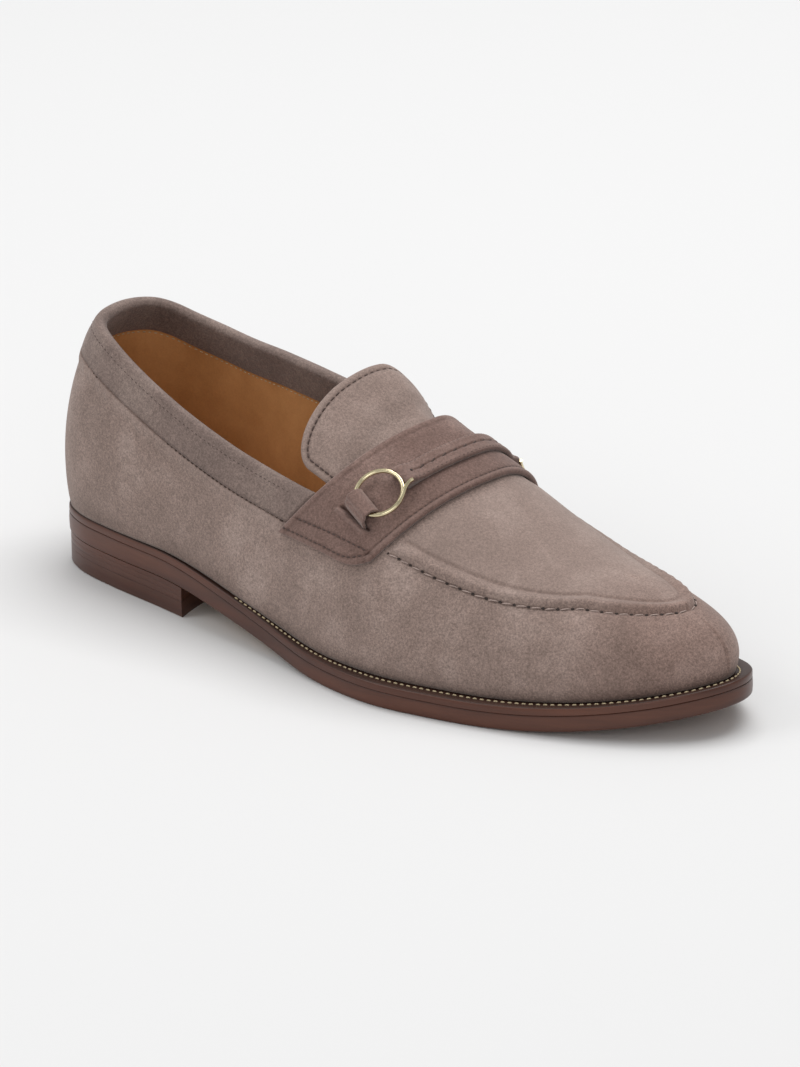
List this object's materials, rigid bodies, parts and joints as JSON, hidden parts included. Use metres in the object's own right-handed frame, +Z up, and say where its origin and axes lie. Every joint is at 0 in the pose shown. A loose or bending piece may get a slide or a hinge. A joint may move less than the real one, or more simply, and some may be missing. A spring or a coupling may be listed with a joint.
{
  "type": "bit loafer",
  "caption": "Right suede loafer with a raised apron, a saddle strap with a ring bit, a folded collar band and a low leather heel.",
  "frame": {"origin": "on the floor, under the middle of the shoe's box", "axes": "+X from heel to toe, +Y to the medial side of a right shoe, +Z up from the floor"},
  "size_m": [0.3012, 0.107, 0.0948],
  "materials": {
    "suede": "taupe suede nap",
    "lining_leather": "smooth tan",
    "sole_leather": "smooth brown",
    "edge_leather": "waxed red-brown",
    "tread_rubber": "matt brown",
    "brass": "polished pale brass"
  },
  "bodies": {
    "root": {"outsole": "sole_leather", "welt": "edge_leather", "heel_stack": "edge_leather", "top_piece_rear": "tread_rubber", "top_piece_front": "sole_leather", "insole": "lining_leather", "upper": "suede", "collar_binding": "suede", "tongue": "suede", "saddle_strap": "suede", "bit_strap": "suede", "bit_ring_lateral": "brass", "bit_ring_medial": "brass", "ring_tab_lateral": "suede", "ring_tab_medial": "suede"}
  },
  "joints": []
}
